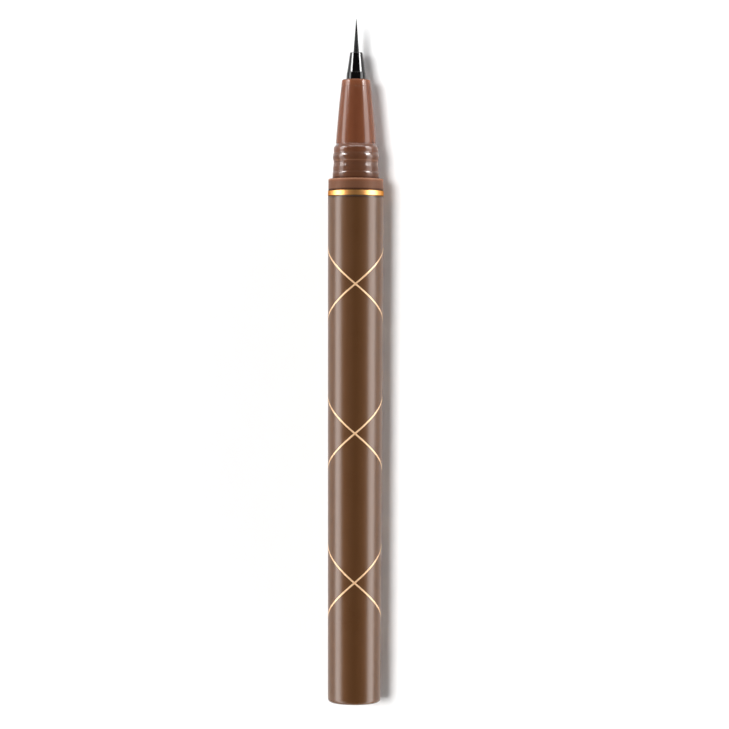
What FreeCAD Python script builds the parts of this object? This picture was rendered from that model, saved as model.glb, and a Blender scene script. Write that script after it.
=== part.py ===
import FreeCAD, Part
import math
import os

import Sketcher

# A liquid eyeliner pen, lying on its side without a cap. Every piece is drawn along the pen's own
# axis, with the tail at height zero and the tip upwards, and is then laid down so that the tip
# points along +Y, +Z is up and the origin is the point of the table under the middle of the pen.

# Driving dimensions in millimetres. The entries that end in count are numbers of copies. The outside
# follows from the barrel's front diameter and the inside of the nose from the wick, by walls and steps.
SIZES = {
    # clearances, on the radius
    "fit_gap": 0.02,
    "slip_gap": 0.05,
    "ball_gap": 0.05,
    "cut_overrun": 1.0,
    # barrel
    "barrel_length": 95.5,
    "barrel_front_dia": 10.5,
    "barrel_draft": 0.28,
    "barrel_tail_rounding": 0.7,
    "barrel_mouth_chamfer": 0.1,
    "mouth_wall": 1.25,
    "socket_depth": 10.5,
    "tank_step": 0.6,
    "snap_length": 1.2,
    "snap_height": 0.18,
    "snap_setback": 5.0,
    # tail plug
    "plug_seat_step": 0.4,
    "plug_head_length": 1.4,
    "plug_shank_length": 8.0,
    "plug_relief": 0.25,
    "plug_wall": 1.9,
    "plug_floor": 2.4,
    "plug_rib_length": 1.2,
    "plug_rib_setback": 1.6,
    "plug_rib_pitch": 2.6,
    "plug_rib_count": 2,
    "gate_dimple_dia": 1.6,
    "gate_dimple_depth": 0.15,
    # mixing ball
    "ball_dia": 3.0,
    # collector
    "collector_flange_length": 1.2,
    "core_wall": 0.75,
    "fin_gap": 0.1,
    "fin_length": 0.7,
    "fin_pitch": 1.9,
    "fin_count": 12,
    "fin_setback": 1.2,
    "seal_length": 1.6,
    "nozzle_length": 4.0,
    "ink_slit_width": 0.4,
    "air_slot_width": 1.2,
    "channel_bite": 0.15,
    # wick
    "wick_dia": 2.0,
    "wick_overhang": 2.0,
    # trim ring
    "ring_length": 1.1,
    "ring_edge_chamfer": 0.1,
    # front section
    "collar_length": 2.2,
    "collar_setback": 0.07,
    "collar_height": 0.8,
    "collar_edge_chamfer": 0.15,
    "cap_seat_length": 1.25,
    "cap_step_length": 0.1,
    "cap_step_height": 0.07,
    "neck_length": 0.95,
    "neck_draft": 0.03,
    "neck_slope_length": 0.65,
    "neck_slope_drop": 0.085,
    "neck_hollow_length": 0.45,
    "bead_radius": 1.85,
    "bead_length": 1.5,
    "bead_drop": 0.015,
    "land_length": 1.0,
    "land_draft": 0.01,
    "shoulder_length": 0.65,
    "shoulder_drop": 0.45,
    "shoulder_groove_length": 0.15,
    "shoulder_groove_depth": 0.08,
    "grip_length": 12.0,
    "grip_rim_wall": 0.79,
    "grip_rim_chamfer": 0.25,
    "section_wall": 1.18,
    "section_taper_length": 1.0,
    "spigot_lead_chamfer": 0.3,
    # brush holder
    "holder_depth": 5.5,
    "holder_flange_length": 1.2,
    "holder_flange_height": 0.4,
    "holder_stem_wall": 0.45,
    "holder_collar_length": 1.3,
    "holder_collar_draft": 0.09,
    "holder_step_length": 0.1,
    "holder_step_height": 0.07,
    "holder_cone_length": 3.7,
    "holder_rim_wall": 0.6,
    "holder_rim_chamfer": 0.12,
    "brush_channel_length": 6.2,
    # brush retainer
    "retainer_wall": 0.3,
    "retainer_flange_length": 0.5,
    "retainer_slot_width": 0.5,
    "retainer_slot_length": 2.0,
    "retainer_slot_count": 4,
    # brush tip
    "brush_dia": 1.08,
    "brush_length": 6.3,
    "brush_point_dia": 0.1,
    "brush_root_length": 0.8,
}


class Size:
    """A length that keeps its value together with the sheet expression that drives it."""

    def __init__(self, value, expression):
        self.value = value
        self.expression = expression

    def __add__(self, other):
        return Size(self.value + other.value, f"({self.expression} + {other.expression})")

    def __sub__(self, other):
        return Size(self.value - other.value, f"({self.expression} - {other.expression})")

    def __mul__(self, factor):
        return Size(self.value * factor, f"({self.expression} * {factor})")

    def __truediv__(self, divisor):
        return Size(self.value / divisor, f"({self.expression} / {divisor})")


doc = FreeCAD.newDocument("eyeliner_pen")
sheet = doc.addObject("Spreadsheet::Sheet", "Sizes")
for line, (alias, value) in enumerate(SIZES.items(), start=1):
    sheet.set(f"A{line}", alias)
    sheet.set(f"B{line}", str(value))
    sheet.setAlias(f"B{line}", alias)
doc.recompute()

pen = {alias: Size(value, f"Sizes.{alias}") for alias, value in SIZES.items()}
ZERO = Size(0, "0")

# Heights along the pen, from the tail to the tip
mouth = pen["barrel_length"]
socket_floor = mouth - pen["socket_depth"]
snap_middle = mouth - pen["snap_setback"]
snap_rear = snap_middle - pen["snap_length"] / 2
snap_front = snap_middle + pen["snap_length"] / 2
ring_front = mouth + pen["ring_length"]
collar_front = ring_front + pen["collar_length"]
cap_seat_front = collar_front + pen["cap_seat_length"]
neck_rear = cap_seat_front + pen["cap_step_length"]
neck_front = neck_rear + pen["neck_length"]
hollow_rear = neck_front + pen["neck_slope_length"]
bead_rear = hollow_rear + pen["neck_hollow_length"]
bead_front = bead_rear + pen["bead_length"]
land_front = bead_front + pen["land_length"]
shoulder_front = land_front + pen["shoulder_length"]
grip_rear = shoulder_front + pen["shoulder_groove_length"]
grip_front = grip_rear + pen["grip_length"]
holder_collar_front = grip_front + pen["holder_collar_length"]
holder_cone_rear = holder_collar_front + pen["holder_step_length"]
holder_front = holder_cone_rear + pen["holder_cone_length"]
brush_point = holder_front + pen["brush_length"]

# Heights of the seats inside the pen
plug_front = pen["plug_head_length"] + pen["plug_shank_length"]
spigot_rear = socket_floor + pen["collector_flange_length"]
holder_seat = grip_front - pen["holder_depth"]
holder_rear = holder_seat - pen["holder_flange_length"]
retainer_rear = holder_rear - pen["retainer_flange_length"]
root_seat = holder_front - pen["brush_channel_length"]
root_rear = root_seat - pen["brush_root_length"]
fin_row_length = pen["fin_pitch"] * (SIZES["fin_count"] - 1)
first_fin_front = socket_floor - pen["fin_setback"]
first_fin_rear = first_fin_front - pen["fin_length"]
seal_front = first_fin_front - fin_row_length - pen["fin_pitch"]
seal_rear = seal_front - pen["seal_length"]
nozzle_rear = seal_rear - pen["nozzle_length"]
wick_rear = nozzle_rear - pen["wick_overhang"]

# Radii from the outside in
front_radius = pen["barrel_front_dia"] / 2
tail_radius = front_radius - pen["barrel_draft"]
socket_radius = front_radius - pen["mouth_wall"]
spigot_radius = socket_radius - pen["fit_gap"]
tank_radius = socket_radius - pen["tank_step"]
tank_fit_radius = tank_radius - pen["fit_gap"]
plug_head_radius = tank_radius + pen["plug_seat_step"]
section_bore_radius = spigot_radius - pen["section_wall"]
collar_radius = front_radius - pen["collar_setback"]
cap_seat_radius = collar_radius - pen["collar_height"]
neck_rear_radius = cap_seat_radius - pen["cap_step_height"]
neck_front_radius = neck_rear_radius - pen["neck_draft"]
hollow_radius = neck_front_radius - pen["neck_slope_drop"]
bead_front_radius = hollow_radius - pen["bead_drop"]
land_front_radius = bead_front_radius - pen["land_draft"]
groove_radius = land_front_radius - pen["shoulder_drop"]
grip_rear_radius = groove_radius + pen["shoulder_groove_depth"]

# Radii from the wick and the brush out
wick_radius = pen["wick_dia"] / 2
wick_bore_radius = wick_radius + pen["slip_gap"]
core_radius = wick_bore_radius + pen["core_wall"]
retainer_radius = wick_bore_radius + pen["retainer_wall"]
root_bore_radius = retainer_radius + pen["slip_gap"]
stem_radius = root_bore_radius + pen["holder_stem_wall"]
stem_bore_radius = stem_radius + pen["fit_gap"]
holder_flange_radius = stem_radius + pen["holder_flange_height"]
flange_bore_radius = holder_flange_radius + pen["slip_gap"]
grip_front_radius = stem_bore_radius + pen["grip_rim_wall"]
brush_radius = pen["brush_dia"] / 2
brush_hole_radius = brush_radius + pen["fit_gap"]
holder_front_radius = brush_hole_radius + pen["holder_rim_wall"]
ball_radius = pen["ball_dia"] / 2


def lay_down(piece, along=ZERO, below=ZERO):
    """Turn a piece's own +Z to +Y and set its axis at the height where the barrel touches down."""
    turn = FreeCAD.Rotation(FreeCAD.Vector(1, 0, 0), -90)
    piece.Placement = FreeCAD.Placement(FreeCAD.Vector(0, 0, 0), turn)
    piece.setExpression("Placement.Base.y", (along - brush_point / 2).expression)
    piece.setExpression("Placement.Base.z", (front_radius - below).expression)


def new_body(label):
    body = doc.addObject("PartDesign::Body", label)
    lay_down(body)
    return body


def origin_plane(body, role):
    return next(feature for feature in body.Origin.OriginFeatures if feature.Role == role)


def new_sketch(body, name, role):
    sketch = body.newObject("Sketcher::SketchObject", name)
    sketch.AttachmentSupport = [(origin_plane(body, role), "")]
    sketch.MapMode = "FlatFace"
    return sketch


def bind(sketch, kind, name, size, *places):
    """Add a dimension to a sketch and drive it from the sheet."""
    index = sketch.addConstraint(Sketcher.Constraint(kind, *places, size.value))
    sketch.renameConstraint(index, name)
    sketch.setExpression(f"Constraints.{name}", size.expression)


def outward_arc(start, end, radius):
    """An arc between two points of a half-section that bulges away from the axis."""
    low, high = sorted((start, end), key=lambda point: point.y)
    chord = high - low
    rise = math.sqrt(radius**2 - (chord.Length / 2) ** 2)
    inward = FreeCAD.Vector(-chord.y, chord.x, 0).normalize()
    centre = (low + high) / 2 + inward * rise
    first, last = (math.atan2(p.y - centre.y, p.x - centre.x) for p in (low, high))
    return Part.ArcOfCircle(Part.Circle(centre, FreeCAD.Vector(0, 0, 1), radius), first, last)


def bind_place(sketch, kind, name, size, edge, end, axis):
    """Fix one coordinate of a corner, measured from the sketch's origin to either side."""
    if size is ZERO:
        sketch.addConstraint(Sketcher.Constraint("PointOnObject", edge, end, axis))
    elif size.value > 0:
        bind(sketch, kind, name, size, -1, 1, edge, end)
    else:
        bind(sketch, kind, name, ZERO - size, edge, end, -1, 1)


def closed_outline(sketch, corners):
    """Draw a closed outline in a sketch, with every corner placed by the sheet.

    A corner is its two coordinates, and a third value makes the stretch that ends there an arc of
    that radius.
    """
    points = [FreeCAD.Vector(corner[0].value, corner[1].value, 0) for corner in corners]
    ends = []
    for index, start in enumerate(points):
        following = (index + 1) % len(points)
        end = points[following]
        if len(corners[following]) == 3:
            arc_radius = corners[following][2]
            edge = sketch.addGeometry(outward_arc(start, end, arc_radius.value))
            bind(sketch, "Radius", f"arc_{following}", arc_radius, edge)
            ends.append((edge, 1, 2) if start.y < end.y else (edge, 2, 1))
        else:
            edge = sketch.addGeometry(Part.LineSegment(start, end))
            ends.append((edge, 1, 2))
    for index, corner in enumerate(corners):
        edge, begins, _ = ends[index]
        before, _, finishes = ends[index - 1]
        sketch.addConstraint(Sketcher.Constraint("Coincident", before, finishes, edge, begins))
        bind_place(sketch, "DistanceX", f"across_{index}", corner[0], edge, begins, -2)
        bind_place(sketch, "DistanceY", f"up_{index}", corner[1], edge, begins, -1)


def turned(body, name, corners):
    """Revolve a half-section once round the pen's axis."""
    sketch = new_sketch(body, f"{name}_section", "XZ_Plane")
    closed_outline(sketch, corners)
    feature = body.newObject("PartDesign::Revolution", name)
    feature.Profile = sketch
    feature.ReferenceAxis = (sketch, ["V_Axis"])
    feature.Angle = 360
    doc.recompute()
    return feature


def dressed(body, name, kind, size, places):
    """Round or chamfer the circular edges of a body at the given radii and heights."""
    base = body.Tip
    rounding_error = 1e-6
    edges = [
        f"Edge{number}"
        for number, edge in enumerate(base.Shape.Edges, start=1)
        for radius, height in places
        if isinstance(edge.Curve, Part.Circle)
        and abs(edge.Curve.Radius - radius.value) < rounding_error
        and abs(edge.Curve.Center.z - height.value) < rounding_error
    ]
    feature = body.newObject(f"PartDesign::{kind}", name)
    feature.Base = (base, edges)
    feature.setExpression("Radius" if kind == "Fillet" else "Size", size.expression)
    doc.recompute()
    return feature


def row_along_axis(body, name, feature, span, count_alias, towards_tail=False):
    """Repeat a feature along the pen's axis over the given span."""
    pattern = body.newObject("PartDesign::LinearPattern", name)
    pattern.Originals = [feature]
    pattern.Direction = (feature.Profile[0], ["V_Axis"])
    pattern.Reversed = towards_tail
    pattern.setExpression("Length", span.expression)
    pattern.setExpression("Occurrences", f"Sizes.{count_alias}")
    body.Tip = pattern
    doc.recompute()
    return pattern


def cut_channel(body, name, width, near, far, rear, length):
    """Cut a straight channel along the axis, between two distances from it, and check that it cuts."""
    before = body.Tip.Shape.Volume
    sketch = new_sketch(body, f"{name}_section", "XY_Plane")
    sketch.setExpression("AttachmentOffset.Base.z", rear.expression)
    right = width / 2
    left = ZERO - right
    closed_outline(sketch, [(left, near), (right, near), (right, far), (left, far)])
    feature = body.newObject("PartDesign::Pocket", name)
    feature.Profile = sketch
    feature.Reversed = True
    feature.setExpression("Length", length.expression)
    doc.recompute()
    if not feature.Shape.Volume < before:
        raise RuntimeError(f"{name} cuts nothing")
    return feature


# Barrel: a moulded tube, slightly drawn in towards the tail, that is the tank for the liquid. Its
# mouth is a socket with a snap groove for the front section, and its tail is stepped for the plug.
barrel = new_body("barrel")
plug_seat_radius = plug_head_radius + pen["fit_gap"]
turned(
    barrel,
    "barrel_wall",
    [
        (plug_seat_radius, ZERO),
        (tail_radius, ZERO),
        (front_radius, mouth),
        (socket_radius, mouth),
        (socket_radius, snap_front),
        (socket_radius + pen["snap_height"], snap_middle),
        (socket_radius, snap_rear),
        (socket_radius, socket_floor),
        (tank_radius, socket_floor),
        (tank_radius, pen["plug_head_length"]),
        (plug_seat_radius, pen["plug_head_length"]),
    ],
)
dressed(barrel, "barrel_tail_edge", "Fillet", pen["barrel_tail_rounding"], [(tail_radius, ZERO)])
dressed(barrel, "barrel_mouth_edge", "Chamfer", pen["barrel_mouth_chamfer"], [(front_radius, mouth)])

# Tail plug: a moulded stopper with a flush head, a hollow shank and two sealing ribs that press on
# the tank wall. The small dimple in the head is where the mould was filled.
tail_plug = new_body("tail_plug")
dimple_radius = pen["gate_dimple_dia"] / 2
shank_radius = tank_radius - pen["plug_relief"]
plug_core_radius = shank_radius - pen["plug_wall"]
turned(
    tail_plug,
    "plug_stopper",
    [
        (ZERO, pen["gate_dimple_depth"]),
        (dimple_radius, pen["gate_dimple_depth"]),
        (dimple_radius, ZERO),
        (plug_head_radius, ZERO),
        (plug_head_radius, pen["plug_head_length"]),
        (shank_radius, pen["plug_head_length"]),
        (shank_radius, plug_front),
        (plug_core_radius, plug_front),
        (plug_core_radius, pen["plug_floor"]),
        (ZERO, pen["plug_floor"]),
    ],
)
rib_root_radius = shank_radius - pen["plug_wall"] / 2
rib_rear = pen["plug_head_length"] + pen["plug_rib_setback"]
rib_front = rib_rear + pen["plug_rib_length"]
plug_rib = turned(
    tail_plug,
    "plug_rib",
    [
        (rib_root_radius, rib_rear),
        (shank_radius, rib_rear),
        (tank_fit_radius, rib_rear + pen["plug_rib_length"] / 2),
        (shank_radius, rib_front),
        (rib_root_radius, rib_front),
    ],
)
rib_row_length = pen["plug_rib_pitch"] * (SIZES["plug_rib_count"] - 1)
row_along_axis(tail_plug, "plug_ribs", plug_rib, rib_row_length, "plug_rib_count")

# Mixing ball: a loose steel ball that lies on the lower wall of the tank, against the plug.
mixing_ball = doc.addObject("Part::Sphere", "mixing_ball")
mixing_ball.setExpression("Radius", ball_radius.expression)
lay_down(
    mixing_ball,
    along=plug_front + pen["ball_gap"] + ball_radius,
    below=tank_radius - pen["ball_gap"] - ball_radius,
)

# Collector: a moulded comb that takes up surplus liquid between its fins. Its flange is clamped
# between the socket floor and the front section, its long neck carries the wick to the tip, and a
# disc at its rear closes the tank. A narrow slit through the disc feeds the fins, and a wider slot
# on the other side lets air past them.
collector = new_body("collector")
turned(
    collector,
    "collector_core",
    [
        (wick_bore_radius, nozzle_rear),
        (core_radius, nozzle_rear),
        (core_radius, socket_floor),
        (spigot_radius, socket_floor),
        (spigot_radius, spigot_rear),
        (core_radius, spigot_rear),
        (core_radius, retainer_rear),
        (wick_bore_radius, retainer_rear),
    ],
)
fin_root_radius = core_radius - pen["core_wall"] / 2
fin_radius = tank_radius - pen["fin_gap"]
turned(
    collector,
    "collector_seal",
    [
        (fin_root_radius, seal_rear),
        (tank_fit_radius, seal_rear),
        (tank_fit_radius, seal_front),
        (fin_root_radius, seal_front),
    ],
)
collector_fin = turned(
    collector,
    "collector_fin",
    [
        (fin_root_radius, first_fin_rear),
        (fin_radius, first_fin_rear),
        (fin_radius, first_fin_front),
        (fin_root_radius, first_fin_front),
    ],
)
row_along_axis(
    collector, "collector_fins", collector_fin, fin_row_length, "fin_count", towards_tail=True
)
channel_floor = core_radius - pen["channel_bite"]
channel_top = tank_radius + pen["cut_overrun"]
slit_rear = seal_rear - pen["cut_overrun"]
cut_channel(
    collector,
    "ink_slit",
    pen["ink_slit_width"],
    channel_floor,
    channel_top,
    slit_rear,
    first_fin_front - slit_rear,
)
cut_channel(
    collector,
    "air_slot",
    pen["air_slot_width"],
    ZERO - channel_floor,
    ZERO - channel_top,
    seal_front,
    first_fin_front - seal_front,
)

# Wick: a rod of bonded fibre that runs from the tank through the collector to the brush root.
wick = new_body("wick")
turned(
    wick,
    "wick_rod",
    [
        (ZERO, wick_rear),
        (wick_radius, wick_rear),
        (wick_radius, root_rear),
        (ZERO, root_rear),
    ],
)

# Trim ring: a plated ring held between the barrel mouth and the collar, flush with the barrel.
trim_ring = new_body("trim_ring")
turned(
    trim_ring,
    "ring_band",
    [
        (socket_radius, mouth),
        (front_radius, mouth),
        (front_radius, ring_front),
        (socket_radius, ring_front),
    ],
)
ring_edges = [(front_radius, mouth), (front_radius, ring_front)]
dressed(trim_ring, "ring_edges", "Chamfer", pen["ring_edge_chamfer"], ring_edges)

# Front section: one gloss moulding. A spigot with a snap bead sits in the barrel, and the collar
# stops a cap. The stepped neck, the round bead and the land before the shoulder guide and hold that
# cap, and the long grip in front of a fine groove narrows to the brush holder.
front_section = new_body("front_section")
turned(
    front_section,
    "section_wall",
    [
        (section_bore_radius, spigot_rear),
        (spigot_radius, spigot_rear),
        (spigot_radius, snap_rear),
        (spigot_radius + pen["snap_height"], snap_middle),
        (spigot_radius, snap_front),
        (spigot_radius, ring_front),
        (collar_radius, ring_front),
        (collar_radius, collar_front),
        (cap_seat_radius, collar_front),
        (cap_seat_radius, cap_seat_front),
        (neck_rear_radius, neck_rear),
        (neck_front_radius, neck_front),
        (hollow_radius, hollow_rear),
        (hollow_radius, bead_rear),
        (bead_front_radius, bead_front, pen["bead_radius"]),
        (land_front_radius, land_front),
        (groove_radius, shoulder_front),
        (groove_radius, grip_rear),
        (grip_rear_radius, grip_rear),
        (grip_front_radius, grip_front),
        (stem_bore_radius, grip_front),
        (stem_bore_radius, holder_seat),
        (flange_bore_radius, holder_seat),
        (flange_bore_radius, grip_rear),
        (section_bore_radius, grip_rear - pen["section_taper_length"]),
    ],
)
collar_edges = [(collar_radius, ring_front), (collar_radius, collar_front)]
dressed(front_section, "collar_edges", "Chamfer", pen["collar_edge_chamfer"], collar_edges)
grip_rim = [(grip_front_radius, grip_front)]
dressed(front_section, "grip_rim", "Chamfer", pen["grip_rim_chamfer"], grip_rim)
spigot_lead = [(spigot_radius, spigot_rear)]
dressed(front_section, "spigot_lead", "Chamfer", pen["spigot_lead_chamfer"], spigot_lead)

# Brush holder: a gloss black nose. Its flange stops against the step inside the grip, and its cone
# closes round the brush.
brush_holder = new_body("brush_holder")
holder_collar_radius = stem_radius - pen["holder_collar_draft"]
turned(
    brush_holder,
    "holder_nose",
    [
        (root_bore_radius, holder_rear),
        (holder_flange_radius, holder_rear),
        (holder_flange_radius, holder_seat),
        (stem_radius, holder_seat),
        (stem_radius, grip_front),
        (holder_collar_radius, holder_collar_front),
        (holder_collar_radius - pen["holder_step_height"], holder_cone_rear),
        (holder_front_radius, holder_front),
        (brush_hole_radius, holder_front),
        (brush_hole_radius, root_seat),
        (root_bore_radius, root_seat),
    ],
)
holder_rim = [(holder_front_radius, holder_front)]
dressed(brush_holder, "holder_rim", "Chamfer", pen["holder_rim_chamfer"], holder_rim)

# Brush retainer: a flanged sleeve, slotted at its front, that is pressed into the holder from
# behind and keeps the brush root on its seat.
brush_retainer = new_body("brush_retainer")
turned(
    brush_retainer,
    "retainer_sleeve",
    [
        (wick_bore_radius, retainer_rear),
        (core_radius, retainer_rear),
        (core_radius, holder_rear),
        (retainer_radius, holder_rear),
        (retainer_radius, root_rear),
        (wick_bore_radius, root_rear),
    ],
)
retainer_slot = cut_channel(
    brush_retainer,
    "retainer_slot",
    pen["retainer_slot_width"],
    wick_bore_radius - pen["retainer_slot_width"] / 2,
    retainer_radius + pen["cut_overrun"],
    root_rear - pen["retainer_slot_length"],
    pen["retainer_slot_length"] + pen["cut_overrun"],
)
retainer_slots = brush_retainer.newObject("PartDesign::PolarPattern", "retainer_slots")
retainer_slots.Originals = [retainer_slot]
retainer_slots.Axis = (retainer_slot.Profile[0], ["N_Axis"])
retainer_slots.Angle = 360
retainer_slots.setExpression("Occurrences", "Sizes.retainer_slot_count")
brush_retainer.Tip = retainer_slots

# Brush tip: filaments welded into a root disc and ground to a fine point.
brush_tip = new_body("brush_tip")
turned(
    brush_tip,
    "brush_bundle",
    [
        (ZERO, root_rear),
        (retainer_radius, root_rear),
        (retainer_radius, root_seat),
        (brush_radius, root_seat),
        (brush_radius, holder_front),
        (pen["brush_point_dia"] / 2, brush_point),
        (ZERO, brush_point),
    ],
)

pieces = [
    barrel,
    tail_plug,
    mixing_ball,
    collector,
    wick,
    trim_ring,
    front_section,
    brush_holder,
    brush_retainer,
    brush_tip,
]

doc.recompute()
for item in doc.Objects:
    if "Invalid" in item.State or "Error" in item.State:
        raise RuntimeError(f"{item.Label} failed to compute")
for piece in pieces:
    if piece.Shape.isNull() or not piece.Shape.isValid():
        raise RuntimeError(f"{piece.Label} has no valid shape")

os.makedirs("parts", exist_ok=True)
for piece in pieces:
    piece.Shape.exportStep(f"parts/{piece.Label}.step")
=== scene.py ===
import math

import bmesh
import bpy
from mathutils import Matrix, Vector


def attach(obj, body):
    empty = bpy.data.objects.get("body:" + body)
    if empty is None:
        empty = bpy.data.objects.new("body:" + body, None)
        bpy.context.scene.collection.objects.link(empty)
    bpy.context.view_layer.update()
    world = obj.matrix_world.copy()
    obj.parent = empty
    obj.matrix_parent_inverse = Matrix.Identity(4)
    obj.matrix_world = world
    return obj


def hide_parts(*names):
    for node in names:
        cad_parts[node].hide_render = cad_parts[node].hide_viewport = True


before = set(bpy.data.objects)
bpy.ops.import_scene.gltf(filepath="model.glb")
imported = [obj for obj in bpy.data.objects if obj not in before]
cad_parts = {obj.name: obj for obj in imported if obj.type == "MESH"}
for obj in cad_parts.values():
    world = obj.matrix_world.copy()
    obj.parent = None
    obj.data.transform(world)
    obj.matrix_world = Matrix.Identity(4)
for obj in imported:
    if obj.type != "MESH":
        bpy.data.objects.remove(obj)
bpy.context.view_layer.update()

# Barrel
# A long tube moulded in brown plastic, drawn in a little towards the tail and sprayed with a satin
# lacquer. Its bore is the tank, its mouth is a socket for the front section.
MM = 0.001
pen_length = 128.9
axis_height = 5.25
barrel_length = 95.5
barrel_front_radius = 5.25
barrel_tail_radius = 4.97
socket_radius = 4.0
socket_floor = 85.0
tank_radius = 3.4
plug_seat_radius = 3.82
plug_head_length = 1.4
tail_rounding = 0.7
tail_bore_rounding = 0.06
mouth_rounding = 0.14
socket_rounding = 0.08


class Wire:
    """A socket of a node tree, so that sums of masks can be written as plain expressions."""

    def __init__(self, tree, socket):
        self.tree = tree
        self.socket = socket

    def feed(self, node, inputs):
        """Set or link the sockets of a node, which are given by name or number."""
        for key, value in inputs.items():
            if isinstance(value, Wire):
                self.tree.links.new(value.socket, node.inputs[key])
            else:
                node.inputs[key].default_value = value

    def node(self, kind, settings=None, inputs=None, output=0):
        """Add a node of a kind, with its settings made before its sockets are fed."""
        node = self.tree.nodes.new(kind)
        for key, value in (settings or {}).items():
            setattr(node, key, value)
        self.feed(node, inputs or {})
        return Wire(self.tree, node.outputs[output])

    def maths(self, operation, first, second):
        return self.node("ShaderNodeMath", {"operation": operation}, {0: first, 1: second})

    def __add__(self, other):
        return self.maths("ADD", self, other)

    def __sub__(self, other):
        return self.maths("SUBTRACT", self, other)

    def __rsub__(self, other):
        return self.maths("SUBTRACT", other, self)

    def __mul__(self, other):
        return self.maths("MULTIPLY", self, other)

    __radd__ = __add__
    __rmul__ = __mul__

    def stretched(self, across, along):
        """Coordinates in millimetres, with a pattern drawn out across or along the pen."""
        scale = (1 / (across * MM), 1 / (along * MM), 1 / (across * MM))
        return self.node("ShaderNodeVectorMath", {"operation": "MULTIPLY"}, {0: self, 1: scale})

    def noise(self, detail=2.0):
        inputs = {"Vector": self, "Scale": 1.0, "Detail": detail}
        return self.node("ShaderNodeTexNoise", None, inputs)

    def ramp(self, low, high, bottom=0.0, top=1.0):
        """This value taken from one range to another, held at both ends."""
        inputs = {0: self, 1: low, 2: high, 3: bottom, 4: top}
        return self.node("ShaderNodeMapRange", {"interpolation_type": "SMOOTHSTEP"}, inputs)

    def between(self, low, high, fade):
        """One between two values, and nothing past a fade on either side."""
        return self.ramp(low - fade, low) - self.ramp(high, high + fade)

    def blend(self, first, second):
        """Two colours mixed by this value."""
        inputs = {0: self, 6: first, 7: second}
        return self.node("ShaderNodeMix", {"data_type": "RGBA"}, inputs, output=2)

    def bump(self, depth):
        """This height as a bump of so many millimetres."""
        return self.node("ShaderNodeBump", None, {"Distance": depth * MM, "Height": self})

    def along_pen(self):
        """The distance from the tail in millimetres."""
        along = self.node("ShaderNodeSeparateXYZ", None, {0: self}, output="Y")
        return along * (1 / MM) + pen_length / 2


def new_finish(name, constants):
    """A material, its shader with the constant sockets set, and the piece's own coordinates."""
    material = bpy.data.materials.new(name)
    material.use_nodes = True
    shader = material.node_tree.nodes["Principled BSDF"]
    for socket, value in constants.items():
        shader.inputs[socket].default_value = value
    coordinates = material.node_tree.nodes.new("ShaderNodeTexCoord")
    return material, shader, Wire(material.node_tree, coordinates.outputs["Object"])


def swept(centre, first, last, steps):
    """The points of an arc about a centre, from one spoke to another."""
    sweep = math.copysign(first.angle(last), first.cross(last))
    return [centre + Matrix.Rotation(sweep * step / steps, 2) @ first for step in range(steps + 1)]


def eased(corners, steps=6, guard=1.2):
    """An outline whose corners are radius, height and, where the corner is rounded, its rounding."""
    points = []
    for index, (radius, height, *rounding) in enumerate(corners):
        corner = Vector((radius, height))
        if not rounding:
            points.append(corner)
            continue
        back = (Vector(corners[index - 1][:2]) - corner).normalized()
        ahead = (Vector(corners[(index + 1) % len(corners)][:2]) - corner).normalized()
        half_angle = back.angle(ahead) / 2
        reach = rounding[0] / math.tan(half_angle)
        centre = corner + (back + ahead).normalized() * rounding[0] / math.sin(half_angle)
        first = corner + back * reach - centre
        last = corner + ahead * reach - centre
        arc = swept(centre, first, last, steps)
        # a guard line just outside each end of the rounding keeps the shading beside it straight
        points += [corner + back * reach * guard, *arc, corner + ahead * reach * guard]
    return points


def turned(name, outline, segments=128, crease=math.radians(40)):
    """A closed outline turned once round the pen's axis, with the pen lying along +Y."""
    mesh = bmesh.new()
    rings = []
    for radius, height in outline:
        along = (height - pen_length / 2) * MM
        count = segments if radius > 0 else 1
        ring = []
        for step in range(count):
            turn = math.tau * step / count
            across = radius * MM * math.sin(turn)
            above = (axis_height + radius * math.cos(turn)) * MM
            ring.append(mesh.verts.new((across, along, above)))
        rings.append(ring)
    for index, ring in enumerate(rings):
        before = rings[index - 1]
        if len(ring) == 1 and len(before) == 1:
            continue
        for step in range(segments):
            corners = [
                before[step % len(before)],
                before[(step + 1) % len(before)],
                ring[(step + 1) % len(ring)],
                ring[step % len(ring)],
            ]
            mesh.faces.new(list(dict.fromkeys(corners)))
    bmesh.ops.recalc_face_normals(mesh, faces=mesh.faces)
    data = bpy.data.meshes.new(name)
    mesh.to_mesh(data)
    mesh.free()
    data.shade_smooth()
    data.set_sharp_from_angle(angle=crease)
    piece = bpy.data.objects.new(name, data)
    bpy.context.scene.collection.objects.link(piece)
    return piece


barrel = turned("satin_barrel", eased([
    (plug_seat_radius, 0.0, tail_bore_rounding),
    (barrel_tail_radius, 0.0, tail_rounding),
    (barrel_front_radius, barrel_length, mouth_rounding),
    (socket_radius, barrel_length, socket_rounding),
    (socket_radius, socket_floor),
    (tank_radius, socket_floor),
    (tank_radius, plug_head_length),
    (plug_seat_radius, plug_head_length),
]))

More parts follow.
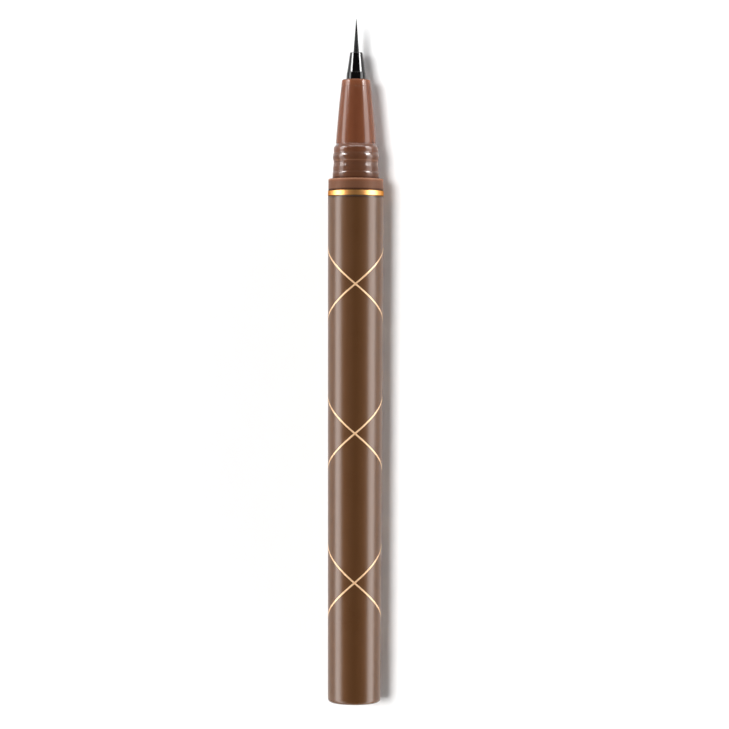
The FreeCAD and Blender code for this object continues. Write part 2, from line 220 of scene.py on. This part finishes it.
barrel_finish, shader, place = new_finish("satin_brown_lacquer", {
    "IOR": 1.5,
    "Specular IOR Level": 0.38,
})
brown = (0.078, 0.0312, 0.0093)
brown_spread = 0.13
worn_brown = (0.15, 0.072, 0.032, 1)
# a near-black brown for the shade painted into the seams beside the trim ring
painted_seam_shade = (0.024, 0.009, 0.003, 1)
drawn_lines = place.stretched(0.22, 14.0).noise()
cloudiness = place.stretched(5.0, 9.0).noise()
lacquer_grain = place.stretched(0.09, 0.09).noise(detail=3.0)
height = place.along_pen()
wear = (1 - height.ramp(0.1, 0.9)) * place.stretched(0.7, 0.4).noise().ramp(0.42, 0.62)
# Painted shade: the lacquer darkens towards the mouth, where shade falls in the seam against the
# ring.
seam_shade = height.ramp(barrel_length - 0.5, barrel_length - 0.15)
tone = (drawn_lines - 0.5) * 0.35 + (cloudiness - 0.5) * 0.4 + 0.5
dark_brown = (*(part * (1 - brown_spread) for part in brown), 1)
light_brown = (*(part * (1 + brown_spread) for part in brown), 1)
fresh = tone.blend(dark_brown, light_brown)
place.feed(shader, {
    "Base Color": (seam_shade * 0.9).blend((wear * 0.5).blend(fresh, worn_brown), painted_seam_shade),
    "Roughness": 0.29 + (lacquer_grain - 0.5) * 0.08 + (cloudiness - 0.5) * 0.05 - wear * 0.06,
    "Normal": (lacquer_grain + drawn_lines * 0.5).bump(0.0012),
})
barrel.data.materials.append(barrel_finish)
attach(barrel, "pen")
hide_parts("barrel")

# Foil lines
# Two fine lines of gold foil, hot-stamped on the lacquer and wound round the barrel in opposite
# hands, so that they cross each other at even steps on its front and its back.
foil_start = 9.0
foil_end = 93.0
foil_turns = 3.0
foil_width = 0.34
foil_height = 0.012
foil_points_round = 10
foil_points_a_turn = 96
shaded_foil = (0.58, 0.36, 0.19, 1)
bright_foil = (0.7, 0.46, 0.26, 1)


def barrel_radius(height):
    return barrel_tail_radius + (barrel_front_radius - barrel_tail_radius) * height / barrel_length


def new_growth(name, sizes):
    """A geometry tree with named inputs, and a wire from each of them."""
    tree = bpy.data.node_groups.new(name, "GeometryNodeTree")
    tree.interface.new_socket("Geometry", in_out="OUTPUT", socket_type="NodeSocketGeometry")
    tree.interface.new_socket("Geometry", in_out="INPUT", socket_type="NodeSocketGeometry")
    kinds = {
        float: "NodeSocketFloat",
        int: "NodeSocketInt",
        bpy.types.Material: "NodeSocketMaterial",
    }
    for label, value in sizes.items():
        tree.interface.new_socket(label, in_out="INPUT", socket_type=kinds[type(value)])
    entry = tree.nodes.new("NodeGroupInput")
    return tree, {socket.name: Wire(tree, socket) for socket in entry.outputs if socket.name}


def grow(piece, tree, sizes, geometry):
    """Let a tree make a piece's mesh with the given sizes, and leave it a plain mesh."""
    entry = next(node for node in tree.nodes if node.type == "GROUP_INPUT")
    finished = geometry.node("GeometryNodeSetMaterial", None, {
        "Geometry": geometry.node("GeometryNodeRealizeInstances", None, {"Geometry": geometry}),
        "Material": Wire(tree, entry.outputs["Material"]),
    })
    geometry.feed(tree.nodes.new("NodeGroupOutput"), {"Geometry": finished})
    modifier = piece.modifiers.new(tree.name, "NODES")
    modifier.node_group = tree
    for item in tree.interface.items_tree:
        if item.name in sizes:
            modifier[item.identifier] = sizes[item.name]
    graph = bpy.context.evaluated_depsgraph_get()
    mesh = bpy.data.meshes.new_from_object(piece.evaluated_get(graph))
    piece.modifiers.clear()
    piece.data = mesh


foil_finish, shader, place = new_finish("gold_foil", {"IOR": 1.5})
speckle = place.stretched(0.12, 0.12).noise(detail=3.0)
place.feed(shader, {
    "Base Color": speckle.ramp(0.35, 0.65).blend(shaded_foil, bright_foil),
    "Metallic": speckle.ramp(0.3, 0.7, 0.1, 0.2),
    "Roughness": speckle.ramp(0.3, 0.7, 0.3, 0.42),
})

foil_sizes = {
    "Turns": foil_turns,
    "Length": (foil_end - foil_start) * MM,
    "Start Radius": barrel_radius(foil_start) * MM,
    "End Radius": barrel_radius(foil_end) * MM,
    "Line Width": foil_width * MM,
    "Line Height": foil_height * MM,
    "Material": foil_finish,
}
tree, size = new_growth("wound_foil_lines", foil_sizes)
start = size["Geometry"]
section = start.node("GeometryNodeTransform", None, {
    "Geometry": start.node("GeometryNodeCurvePrimitiveCircle", None, {
        "Resolution": foil_points_round,
        "Radius": 1.0,
    }),
    "Scale": start.node("ShaderNodeCombineXYZ", None, {
        "X": size["Line Height"],
        "Y": size["Line Width"] * 0.5,
        "Z": 1.0,
    }),
})
both_hands = tree.nodes.new("GeometryNodeJoinGeometry")
for left_handed in (False, True):
    helix = start.node("GeometryNodeCurveSpiral", None, {
        "Resolution": foil_points_a_turn,
        "Rotations": size["Turns"],
        "Start Radius": size["Start Radius"],
        "End Radius": size["End Radius"],
        "Height": size["Length"],
        "Reverse": left_handed,
    })
    outward = start.node("GeometryNodeSetCurveNormal", {"mode": "Z_UP"}, {"Curve": helix})
    line = start.node("GeometryNodeCurveToMesh", None, {
        "Curve": outward,
        "Profile Curve": section,
        "Fill Caps": True,
    })
    laid_down = start.node("GeometryNodeTransform", None, {
        "Geometry": line,
        "Translation": (0, (foil_start - pen_length / 2) * MM, axis_height * MM),
        "Rotation": (-math.pi / 2, math.pi / 2, 0),
    })
    tree.links.new(laid_down.socket, both_hands.inputs[0])
foil = bpy.data.objects.new("gold_foil_lines", bpy.data.meshes.new("gold_foil_lines"))
bpy.context.scene.collection.objects.link(foil)
grow(foil, tree, foil_sizes, Wire(tree, both_hands.outputs[0]))
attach(foil, "pen")

# Tail plug
# A stopper moulded in the barrel's brown plastic and pressed into the tail until its head is flush.
# Two ribs on the shank seal the tank, and the dimple in the head is the gate mark of the mould.
plug_head_radius = 3.8
plug_front = 9.4
plug_shank_radius = 3.15
plug_head_rounding = 0.1
plug_core_radius = 1.25
plug_core_floor = 2.4
rib_radius = 3.38
rib_half_width = 0.6
rib_crests = (3.6, 6.2)
gate_mark_radius = 0.8
gate_mark_depth = 0.15
gate_mark_rounding = 0.05
dark_moulding = (0.07, 0.027, 0.0085, 1)
light_moulding = (0.098, 0.039, 0.013, 1)
ribs = []
for crest in rib_crests:
    ribs.append((plug_shank_radius, crest - rib_half_width))
    ribs.append((rib_radius, crest))
    ribs.append((plug_shank_radius, crest + rib_half_width))
tail_plug = turned("flush_tail_plug", eased([
    (0.0, gate_mark_depth),
    (gate_mark_radius, gate_mark_depth, gate_mark_rounding),
    (gate_mark_radius, 0.0, gate_mark_rounding),
    (plug_head_radius, 0.0, plug_head_rounding),
    (plug_head_radius, plug_head_length),
    (plug_shank_radius, plug_head_length),
    *ribs,
    (plug_shank_radius, plug_front),
    (plug_core_radius, plug_front),
    (plug_core_radius, plug_core_floor),
    (0.0, plug_core_floor),
]))
plug_finish, shader, place = new_finish("plain_brown_moulding", {"IOR": 1.48})
mould_grain = place.stretched(0.14, 0.14).noise(detail=4.0)
mottle = place.stretched(1.6, 1.6).noise()
place.feed(shader, {
    "Base Color": mottle.blend(dark_moulding, light_moulding),
    "Roughness": 0.36 + (mould_grain - 0.5) * 0.12,
    "Normal": mould_grain.bump(0.002),
})
tail_plug.data.materials.append(plug_finish)
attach(tail_plug, "pen")
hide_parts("tail_plug")

# Mixing ball
# A loose ball of polished steel in the tank, which stirs the liquid when the pen is shaken. It is
# ground and lapped, and dropped in before the plug closes the tail.
dull_steel = (0.55, 0.55, 0.56, 1)
bright_steel = (0.66, 0.66, 0.67, 1)
ball_finish, shader, place = new_finish("polished_ball_steel", {"Metallic": 1.0})
lapping = place.stretched(0.3, 0.3).noise(detail=4.0)
place.feed(shader, {
    "Base Color": lapping.blend(dull_steel, bright_steel),
    "Roughness": lapping.ramp(0.3, 0.7, 0.08, 0.2),
})
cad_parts["mixing_ball"].data.materials.clear()
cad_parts["mixing_ball"].data.materials.append(ball_finish)

# Collector and brush retainer
# Two mouldings in natural white plastic. The comb is clamped between the socket floor and the front
# section, and the slotted sleeve is pressed into the brush holder; both are faintly inked.
natural_white = (0.7, 0.69, 0.66, 1)
inked_white = (0.24, 0.2, 0.17, 1)
natural_finish, shader, place = new_finish("natural_white_moulding", {
    "IOR": 1.46,
    "Roughness": 0.42,
})
ink_stain = place.stretched(1.4, 2.2).noise(detail=3.0)
flow = place.stretched(0.2, 0.2).noise(detail=3.0)
place.feed(shader, {
    "Base Color": ink_stain.ramp(0.5, 0.72).blend(natural_white, inked_white),
    "Normal": flow.bump(0.002),
})
for node in ("collector", "brush_retainer"):
    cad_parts[node].data.materials.clear()
    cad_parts[node].data.materials.append(natural_finish)

# Wick
# A rod of bonded fibre, soaked with liquid, that lies in the collector's bore and feeds the brush.
# It is cut to length from a drawn strand and pushed in.
soaked_fibre = (0.02, 0.018, 0.016, 1)
drier_fibre = (0.09, 0.078, 0.068, 1)
wick_finish, shader, place = new_finish("soaked_bonded_fibre", {"Roughness": 0.55})
fibres = place.stretched(0.06, 2.5).noise(detail=3.0)
place.feed(shader, {
    "Base Color": fibres.ramp(0.35, 0.65).blend(soaked_fibre, drier_fibre),
    "Normal": fibres.bump(0.01),
})
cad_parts["wick"].data.materials.clear()
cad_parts["wick"].data.materials.append(wick_finish)

# Front section
# One gloss moulding in red-brown plastic, snapped into the barrel. The collar stops the cap, the
# seat and the bead hold it, and the slim cone is the grip.
spigot_rear = 86.2
ring_front = 96.6
collar_front = 98.8
seat_edge = 99.8
neck_rear = 100.15
neck_front = 101.1
hollow_rear = 101.75
bead_rear = 102.2
bead_front = 103.7
land_front = 104.7
shoulder_front = 105.35
grip_rear = 105.5
rim_rear = 116.1
grip_front = 117.5
spigot_radius = 3.98
section_bore_radius = 2.8
collar_radius = 5.18
cap_seat_radius = 4.38
neck_rear_radius = 4.31
neck_front_radius = 4.28
hollow_radius = 4.195
bead_front_radius = 4.18
land_front_radius = 4.17
groove_radius = 3.72
grip_rear_radius = 3.8
rim_rear_radius = 2.83
grip_front_radius = 2.66
stem_bore_radius = 1.87
flange_bore_radius = 2.3
holder_seat = 112.0
bore_step = 1.0
rim_groove_depth = 0.05
rim_groove_width = 0.16
rim_groove_rounding = 0.03
rim_lip_drop = 0.02
edge_rounding = 0.75
bead_rounding = 1.85
grip_rounding = 240.0
crisp_rounding = 0.05
spigot_rounding = 0.3
collar_rear_rounding = 0.12
collar_front_rounding = 0.2
seat_root_rounding = 0.06
neck_front_rounding = 0.3
hollow_rounding = 3.0
bead_rear_rounding = 0.2
bead_front_rounding = 0.1
land_rounding = 0.6
groove_rounding = 0.15
grip_mouth_rounding = 0.3


def bulged(first, last, radius, steps=10):
    """The points between two ends of an arc that bulges away from the pen's axis."""
    start, end = Vector(first), Vector(last)
    chord = end - start
    inward = Vector((-chord.y, chord.x)).normalized()
    centre = (start + end) / 2 + inward * math.sqrt(radius**2 - (chord.length / 2) ** 2)
    return [tuple(point) for point in swept(centre, start - centre, end - centre, steps)[1:-1]]


front_section = turned("gloss_front_section", eased([
    (section_bore_radius, spigot_rear),
    (spigot_radius, spigot_rear, spigot_rounding),
    (spigot_radius, ring_front),
    (collar_radius, ring_front, collar_rear_rounding),
    (collar_radius, collar_front, collar_front_rounding),
    (cap_seat_radius, collar_front, seat_root_rounding),
    (cap_seat_radius, seat_edge, crisp_rounding),
    *bulged((cap_seat_radius, seat_edge), (neck_rear_radius, neck_rear), edge_rounding),
    (neck_rear_radius, neck_rear, crisp_rounding),
    (neck_front_radius, neck_front, neck_front_rounding),
    (hollow_radius, hollow_rear, hollow_rounding),
    (hollow_radius, bead_rear, bead_rear_rounding),
    *bulged((hollow_radius, bead_rear), (bead_front_radius, bead_front), bead_rounding),
    (bead_front_radius, bead_front, bead_front_rounding),
    (land_front_radius, land_front, land_rounding),
    (groove_radius, shoulder_front, groove_rounding),
    (groove_radius, grip_rear),
    (grip_rear_radius, grip_rear, crisp_rounding),
    *bulged((grip_rear_radius, grip_rear), (rim_rear_radius, rim_rear), grip_rounding),
    (rim_rear_radius, rim_rear, rim_groove_rounding),
    (rim_rear_radius - rim_groove_depth, rim_rear + rim_groove_width / 2, rim_groove_rounding),
    (rim_rear_radius - rim_lip_drop, rim_rear + rim_groove_width, rim_groove_rounding),
    (grip_front_radius, grip_front, grip_mouth_rounding),
    (stem_bore_radius, grip_front, crisp_rounding),
    (stem_bore_radius, holder_seat),
    (flange_bore_radius, holder_seat),
    (flange_bore_radius, grip_rear),
    (section_bore_radius, grip_rear - bore_step),
]))
section_finish, shader, place = new_finish("gloss_red_brown_plastic", {
    "IOR": 1.5,
    "Specular IOR Level": 0.06,
    "Coat Roughness": 0.12,
})
painted_glow_colour = (0.205, 0.067, 0.029, 1)
lightened_edge_colour = (0.29, 0.14, 0.08, 1)
painted_shade_colour = (0.026, 0.009, 0.004, 1)
polish_fade = 0.1
bead_edge_fade = 0.15
corner_core = collar_front + 0.2
corner_front = collar_front + 0.5
height = place.along_pen()
flow_marks = place.stretched(1.1, 3.2).noise(detail=3.0)
fine_marks = place.stretched(0.2, 0.5).noise()
# Painted glow: the grip's front rim and the front part of the collar are lightened, as if light
# shone through the plastic there.
painted_collar_glow = height.ramp(collar_front - 0.8, collar_front)
painted_glow_rims = height.ramp(rim_rear - 0.2, grip_front) + (
    painted_collar_glow * (1 - height.ramp(collar_front, collar_front + 0.1))
)
thick_wall = flow_marks.blend((0.074, 0.0275, 0.0125, 1), (0.096, 0.037, 0.018, 1))
thin_wall = flow_marks.blend((0.118, 0.0365, 0.0155, 1), (0.145, 0.047, 0.0215, 1))
collar_wall = flow_marks.blend((0.112, 0.048, 0.026, 1), (0.134, 0.059, 0.033, 1))
past_collar = height.ramp(collar_front, collar_front + 0.08)
neck_and_grip = height.ramp(bead_front - 0.8, grip_rear + 0.8).blend(thick_wall, thin_wall)
body_colour = past_collar.blend(collar_wall, neck_and_grip)
lit_rims = (painted_glow_rims * 0.65).blend(body_colour, painted_glow_colour)
# Painted highlight: the collar's front edge is lightened to stand for its bright edge line, and a
# weaker band of the same colour lies on the bead's rear edge.
collar_edge_highlight = height.ramp(collar_front - 0.38, collar_front - 0.18) * (1 - past_collar)
bead_edge = height.between(bead_rear, bead_rear + 0.05, bead_edge_fade)
lightened_edges = collar_edge_highlight * 0.9 + bead_edge * 0.27
rims_and_lightened_edges = lightened_edges.blend(lit_rims, lightened_edge_colour)
# Painted shade: the collar's rear edge darkens into the seam against the ring.
seam_shade = 1 - height.ramp(ring_front + 0.15, ring_front + 0.45)
# Painted shade: a dark line in the corner at the root of the cap seat, just in front of the collar.
corner = past_collar * (1 - height.ramp(corner_core, corner_front))
past_seat = height.ramp(corner_core, seat_edge)
polished_edges = (
    (seat_edge, neck_rear),
    (neck_front, hollow_rear),
    (bead_front - 0.75, bead_front),
    (land_front - 0.4, shoulder_front),
)
marks = (fine_marks + flow_marks - 1) * 0.07
polish = sum(height.between(rear, front, polish_fade) for rear, front in polished_edges)
place.feed(shader, {
    "Base Color": (seam_shade * 0.85 + corner * 0.55).blend(rims_and_lightened_edges, painted_shade_colour),
    "Roughness": height.ramp(bead_front, grip_rear, 0.38, 0.24) + marks,
    "Coat Weight": past_seat * height.ramp(bead_front, grip_rear, 0.27, 0.38) + polish * 0.45,
    "Normal": (flow_marks + fine_marks * 0.3).bump(0.003),
})
front_section.data.materials.append(section_finish)
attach(front_section, "pen")
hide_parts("front_section")

# Trim ring
# A turned metal band, plated in bright gold. It is slipped over the spigot and held between the
# barrel's mouth and the collar, with painted shade in the seam on either side.
ring_rounding = 0.1
trim_ring = turned("gold_trim_ring", eased([
    (socket_radius, barrel_length),
    (barrel_front_radius, barrel_length, ring_rounding),
    (barrel_front_radius, ring_front, ring_rounding),
    (socket_radius, ring_front),
]), segments=192)
ring_finish, shader, place = new_finish("bright_gold_plating", {
    "Metallic": 1.0,
    "Specular Tint": (0.2, 0.14, 0.08, 1),
})
turning_lines = place.stretched(6.0, 0.035).noise()
plating = place.stretched(0.8, 0.8).noise()
bright_gold = plating.blend((0.72, 0.335, 0.1, 1), (0.81, 0.395, 0.135, 1))
height = place.along_pen()
# Painted shade at both edges of the ring, where it meets the barrel and the collar.
rear_seam_shade = 1 - height.ramp(barrel_length + 0.08, barrel_length + 0.18)
front_seam_shade = height.ramp(ring_front - 0.15, ring_front - 0.05)
place.feed(shader, {
    "Base Color": ((rear_seam_shade + front_seam_shade) * 0.9).blend(bright_gold, painted_seam_shade),
    "Roughness": 0.355 + (turning_lines - 0.5) * 0.16,
    "Normal": turning_lines.bump(0.0015),
})
trim_ring.data.materials.append(ring_finish)
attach(trim_ring, "pen")
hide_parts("trim_ring")

# Brush holder
# A small nose moulded in gloss black, pushed into the grip from behind up to its flange. The cone
# closes round the brush, and a short collar fills the mouth of the grip.
holder_rear = 110.8
holder_collar_front = 118.8
holder_cone_rear = 118.9
holder_front = 122.6
root_seat = 116.4
root_bore_radius = 1.4
brush_hole_radius = 0.56
holder_flange_radius = 2.25
holder_stem_radius = 1.85
holder_collar_radius = 1.76
holder_cone_radius = 1.69
holder_tip_radius = 1.16
holder_step_rounding = 0.04
holder_tip_rounding = 0.13
brush_hole_rounding = 0.06
deep_black = (0.0016, 0.0015, 0.0015, 1)
soft_black = (0.0032, 0.003, 0.0029, 1)
brush_holder = turned("black_brush_holder", eased([
    (root_bore_radius, holder_rear),
    (holder_flange_radius, holder_rear),
    (holder_flange_radius, holder_seat),
    (holder_stem_radius, holder_seat),
    (holder_stem_radius, grip_front),
    (holder_collar_radius, holder_collar_front, holder_step_rounding),
    (holder_cone_radius, holder_cone_rear, holder_step_rounding),
    (holder_tip_radius, holder_front, holder_tip_rounding),
    (brush_hole_radius, holder_front, brush_hole_rounding),
    (brush_hole_radius, root_seat),
    (root_bore_radius, root_seat),
]), segments=96)
nose_finish, shader, place = new_finish("gloss_black_plastic", {
    "IOR": 1.47,
    "Specular IOR Level": 0.34,
})
ripple = place.stretched(0.9, 1.8).noise(detail=3.0)
dust = place.stretched(0.12, 0.12).noise(detail=3.0)
place.feed(shader, {
    "Base Color": ripple.blend(deep_black, soft_black),
    "Roughness": 0.07 + dust.ramp(0.5, 0.8) * 0.12,
    "Normal": ripple.bump(0.002),
})
brush_holder.data.materials.append(nose_finish)
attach(brush_holder, "pen")
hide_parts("brush_holder")

# Brush
# A bundle of tapered synthetic filaments, welded into a root disc, drawn together by the wet liquid
# and ground to a fine point.
root_rear = 115.6
root_radius = 1.35
root_rounding = 0.1
bundle_radius = 0.54
core_radius = bundle_radius * 0.93
core_taper_start = holder_front - 0.1
core_tip_radius = 0.035
core_tip = pen_length - 0.08
core_point = pen_length - 0.02
filament_radius = 0.045
filament_tip_share = 0.4
filament_spacing = 1.7
shortest_filament = 0.93
bundle_point_share = 0.09
filament_sides = 6
filament_rings = 12
root_disc_sides = 32
roots_per_square_metre = 1.0e9
brush_seed = 7
wet_black = (0.002, 0.002, 0.002, 1)
streak_grey = (0.014, 0.0135, 0.0125, 1)
brush = turned("filament_brush", eased([
    (0.0, root_rear),
    (root_radius, root_rear, root_rounding),
    (root_radius, root_seat, root_rounding),
    (core_radius, root_seat),
    (core_radius, core_taper_start),
    (core_tip_radius, core_tip),
    (0.0, core_point),
]), segments=48)
brush_finish, shader, place = new_finish("wet_black_filaments", {
    "IOR": 1.5,
    "Specular IOR Level": 0.1,
})
streaks = place.stretched(0.05, 1.6).noise()
place.feed(shader, {
    "Base Color": streaks.ramp(0.35, 0.7).blend(wet_black, streak_grey),
    "Roughness": streaks.ramp(0.3, 0.7, 0.26, 0.42),
})
brush.data.materials.append(brush_finish)
brush_sizes = {
    "Bundle Radius": bundle_radius * MM,
    "Filament Radius": filament_radius * MM,
    "Filament Length": (pen_length - root_seat) * MM,
    "Taper Start": (holder_front - root_seat) * MM,
    "Point Share": bundle_point_share,
    "Seed": brush_seed,
    "Material": brush_finish,
}
tree, size = new_growth("tapered_filament_bundle", brush_sizes)
start = size["Geometry"]
root_disc = start.node("GeometryNodeMeshCircle", {"fill_type": "NGON"}, {
    "Vertices": root_disc_sides,
    "Radius": size["Bundle Radius"] - size["Filament Radius"],
})
roots = start.node("GeometryNodeDistributePointsOnFaces", {"distribute_method": "POISSON"}, {
    "Mesh": root_disc,
    "Distance Min": size["Filament Radius"] * filament_spacing,
    "Density Max": roots_per_square_metre,
    "Seed": size["Seed"],
})
filament = start.node("GeometryNodeMeshCone", None, {
    "Vertices": filament_sides,
    "Side Segments": filament_rings,
    "Radius Top": size["Filament Radius"] * filament_tip_share,
    "Radius Bottom": size["Filament Radius"],
    "Depth": size["Filament Length"],
})
length_share = start.node("FunctionNodeRandomValue", {"data_type": "FLOAT"}, {
    2: shortest_filament,
    3: 1.0,
    "Seed": size["Seed"],
}, output=1)
bundle = start.node("GeometryNodeRealizeInstances", None, {
    "Geometry": start.node("GeometryNodeInstanceOnPoints", None, {
        "Points": roots,
        "Instance": filament,
        "Scale": start.node("ShaderNodeCombineXYZ", None, {"X": 1.0, "Y": 1.0, "Z": length_share}),
    }),
})
spot = start.node("GeometryNodeInputPosition")
up = start.node("ShaderNodeSeparateXYZ", None, {0: spot}, output="Z")
closing = start.node("ShaderNodeMapRange", None, {
    0: up,
    1: size["Taper Start"],
    2: size["Filament Length"],
    3: 1.0,
    4: size["Point Share"],
})
drawn_in = start.node("GeometryNodeSetPosition", None, {
    "Geometry": bundle,
    "Position": start.node("ShaderNodeVectorMath", {"operation": "MULTIPLY"}, {
        0: spot,
        1: start.node("ShaderNodeCombineXYZ", None, {"X": closing, "Y": closing, "Z": 1.0}),
    }),
})
pointing_ahead = start.node("GeometryNodeTransform", None, {
    "Geometry": start.node("GeometryNodeSetShadeSmooth", None, {"Geometry": drawn_in}),
    "Translation": (0, (root_seat - pen_length / 2) * MM, axis_height * MM),
    "Rotation": (-math.pi / 2, 0, 0),
})
with_root = tree.nodes.new("GeometryNodeJoinGeometry")
for part in (start, pointing_ahead):
    tree.links.new(part.socket, with_root.inputs[0])
grow(brush, tree, brush_sizes, Wire(tree, with_root.outputs[0]))
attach(brush, "pen")
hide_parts("brush_tip")

# Floor and surround
# A white table top that turns up into a white wall all round, like a light tent open at the top.
# Near the pen it is plain white paint, which keeps the shadow, and far from it it shows as white.
tent_radius = 3.0
tent_height = 0.9
table_radius = 0.6
cove_radius = 0.8
cove_steps = 8
tent_sides = 64
plain_paint_radius = 0.25
shown_white_radius = 0.7
floor_white = (0.965, 0.965, 0.965, 1)
cove_start = tent_radius - cove_radius
floor_mesh = bmesh.new()
floor_outline = [(0.0, 0.0), (table_radius, 0.0), (cove_start, 0.0)]
for step in range(1, cove_steps + 1):
    turn = math.pi / 2 * step / cove_steps
    across = cove_start + cove_radius * math.sin(turn)
    above = cove_radius * (1 - math.cos(turn))
    floor_outline.append((across, above))
floor_outline.append((tent_radius, tent_height))
profile = [floor_mesh.verts.new((radius, 0.0, height)) for radius, height in floor_outline]
edges = [floor_mesh.edges.new(pair) for pair in zip(profile, profile[1:])]
bmesh.ops.spin(
    floor_mesh,
    geom=profile + edges,
    cent=(0, 0, 0),
    axis=(0, 0, 1),
    angle=math.tau,
    steps=tent_sides,
)
bmesh.ops.remove_doubles(floor_mesh, verts=floor_mesh.verts, dist=1e-5)
bmesh.ops.recalc_face_normals(floor_mesh, faces=floor_mesh.faces)
floor_data = bpy.data.meshes.new("white_surround")
floor_mesh.to_mesh(floor_data)
floor_mesh.free()
floor_data.shade_smooth()
floor = bpy.data.objects.new("white_surround", floor_data)
bpy.context.scene.collection.objects.link(floor)

floor_finish, shader, place = new_finish("white_table", {
    "Base Color": floor_white,
    "Roughness": 0.9,
    "Specular IOR Level": 0.0,
})
distance = place.node("ShaderNodeVectorMath", {"operation": "LENGTH"}, {0: place}, output="Value")
light_path = floor_finish.node_tree.nodes.new("ShaderNodeLightPath")
seen = [
    Wire(floor_finish.node_tree, light_path.outputs[ray])
    for ray in ("Is Camera Ray", "Is Glossy Ray", "Is Transmission Ray")
]
seen_by_any = place.maths("MAXIMUM", seen[0], place.maths("MAXIMUM", seen[1], seen[2]))
far_white = place.node("ShaderNodeMixShader", None, {
    0: distance.ramp(plain_paint_radius, shown_white_radius) * seen_by_any,
    1: Wire(floor_finish.node_tree, shader.outputs[0]),
    2: place.node("ShaderNodeEmission", None, {"Color": (1, 1, 1, 1), "Strength": 1.0}),
})
place.feed(floor_finish.node_tree.nodes["Material Output"], {"Surface": far_white})
floor.data.materials.append(floor_finish)

# Lights
# A soft key from the upper left gives the shadow, and a long strip on either side gives the barrel
# its two light bands. Panels beyond the brush give the glints on the neck and the nose, and the line
# on the shoulder. Low white cards fill the flanks, and the open top of the tent adds a little light.
key = bpy.data.objects.new("soft_key", bpy.data.lights.new("soft_key", "SUN"))
key.data.energy = 2.95
key.data.angle = math.radians(17.5)
key.rotation_euler = (math.radians(-3.5), math.radians(-20.5), 0)
key.visible_glossy = False
bpy.context.scene.collection.objects.link(key)


def soft_panel(name, middle, width, height, brightness, seen_by, roll=0.0):
    """An upright panel that faces the middle of the pen and shows in one kind of light only."""
    panel = bpy.data.objects.new(name, bpy.data.lights.new(name, "AREA"))
    panel.data.shape = "RECTANGLE"
    panel.data.size = width
    panel.data.size_y = height
    panel.data.energy = brightness * math.pi * width * height
    panel.location = middle
    facing = Vector((-middle[0], -middle[1], 0)).to_track_quat("-Z", "Y").to_matrix()
    panel.rotation_euler = (facing @ Matrix.Rotation(math.radians(roll), 3, "Z")).to_euler()
    panel.visible_camera = False
    panel.visible_diffuse = seen_by == "diffuse"
    panel.visible_glossy = seen_by == "gloss"
    if seen_by == "gloss":
        panel.data.cycles.max_bounces = 0
    bpy.context.scene.collection.objects.link(panel)


strip_length = 1.6
strip_roll = 14.0
glint_width = 0.3
glint_brightness = 46.0
card_height = 0.08
soft_panel("left_strip", (-0.5, -0.05, 0.13), strip_length, 0.27, 8.5, "gloss", strip_roll)
soft_panel("right_strip", (0.5, -0.05, 0.155), strip_length, 0.32, 7.75, "gloss", strip_roll)
soft_panel("left_glint_panel", (-1.3, 0.66, 0.62), glint_width, 0.6, glint_brightness, "gloss")
soft_panel("right_glint_panel", (1.3, 0.66, 0.6), glint_width, 0.66, glint_brightness, "gloss")
soft_panel("front_panel", (0, 1.4, 0.66), 2.0, 0.22, 24.0, "gloss")
soft_panel("left_card", (-0.5, 0, 0.04), strip_length, card_height, 12.0, "diffuse")
soft_panel("right_card", (0.5, 0, 0.04), strip_length, card_height, 17.0, "diffuse")

world = bpy.data.worlds.new("open_tent_top")
world.use_nodes = True
world.node_tree.nodes["Background"].inputs["Color"].default_value = (1, 1, 1, 1)
world.node_tree.nodes["Background"].inputs["Strength"].default_value = 0.05
bpy.context.scene.world = world

# Camera
# It looks almost straight down on the pen, with the brush at the top of the frame.
aim = Vector((0.00175, -0.00062, axis_height * MM))
camera_distance = 0.5
tilt = math.radians(1.0)
lean = math.radians(0.19)
camera = bpy.data.objects.new("camera", bpy.data.cameras.new("camera"))
camera.data.sensor_width = 36.0
camera.data.lens = 130.8
camera.data.clip_start = 0.01
back = Vector((0, math.sin(tilt), math.cos(tilt)))
up = Vector((-math.sin(lean), math.cos(lean), 0))
right = up.cross(back).normalized()
turn = Matrix((right, back.cross(right), back)).transposed().to_4x4()
camera.matrix_world = Matrix.Translation(aim + back * camera_distance) @ turn
bpy.context.scene.collection.objects.link(camera)
bpy.context.scene.camera = camera

bpy.context.scene.view_settings.view_transform = "Standard"
